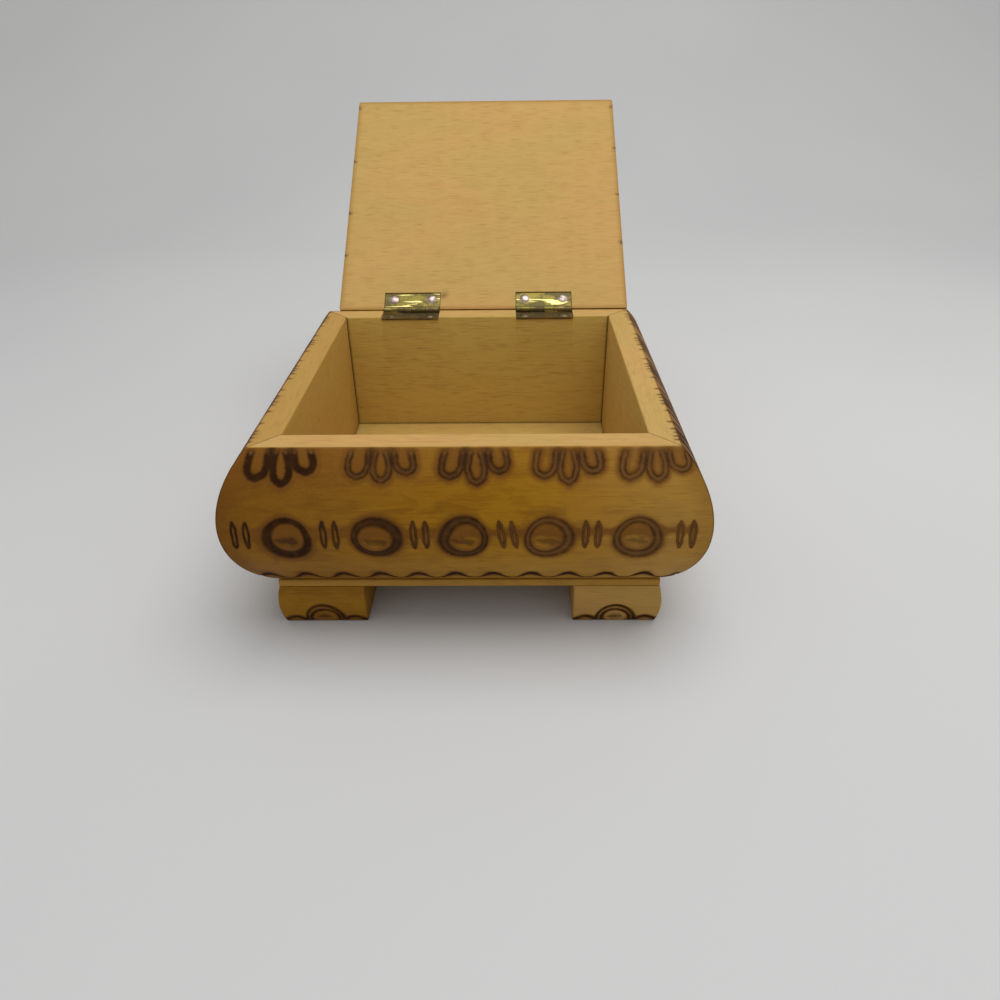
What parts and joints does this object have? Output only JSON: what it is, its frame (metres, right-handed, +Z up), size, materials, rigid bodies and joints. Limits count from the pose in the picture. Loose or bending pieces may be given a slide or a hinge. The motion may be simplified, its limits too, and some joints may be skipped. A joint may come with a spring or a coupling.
{
  "type": "trinket box",
  "caption": "Hinged wooden trinket box with swelling mitred walls, block feet and a flat lid that lays back on two brass butt hinges.",
  "frame": {"origin": "on the table, under the middle of the box's inside, level with the soles of the feet", "axes": "+X to the right, +Y to the back, where the hinges are, and +Z up"},
  "size_m": [0.0996, 0.1622, 0.0945],
  "materials": {
    "wall_wood": "honey varnish with burnt ornament outside, bare pale wood inside",
    "base_wood": "honey varnish on the edge, bare floor inside",
    "foot_wood": "honey varnish with burnt ornament",
    "lid_wood": "bare pale wood underneath, honey varnish on top",
    "hinge_brass": "worn brass plate",
    "nail_metal": "dull domed nail heads"
  },
  "bodies": {
    "box": {"front_wall": "wall_wood", "rear_wall": "wall_wood", "left_wall": "wall_wood", "right_wall": "wall_wood", "base_plate": "base_wood", "front_left_foot": "foot_wood", "front_right_foot": "foot_wood", "rear_left_foot": "foot_wood", "rear_right_foot": "foot_wood", "left_hinge_box_leaf": "hinge_brass", "right_hinge_box_leaf": "hinge_brass", "left_hinge_pin": "hinge_brass", "right_hinge_pin": "hinge_brass", "left_hinge_box_nails": "nail_metal", "right_hinge_box_nails": "nail_metal"},
    "lid": {"lid_panel": "lid_wood", "left_hinge_lid_leaf": "hinge_brass", "right_hinge_lid_leaf": "hinge_brass", "left_hinge_lid_nails": "nail_metal", "right_hinge_lid_nails": "nail_metal"}
  },
  "joints": [
    {"name": "lid_hinge", "type": "hinge", "parent": "box", "child": "lid", "pos_m": [0, 0.0425, 0.0456], "axis": [1, 0, 0], "range_deg": [0, 144]}
  ]
}
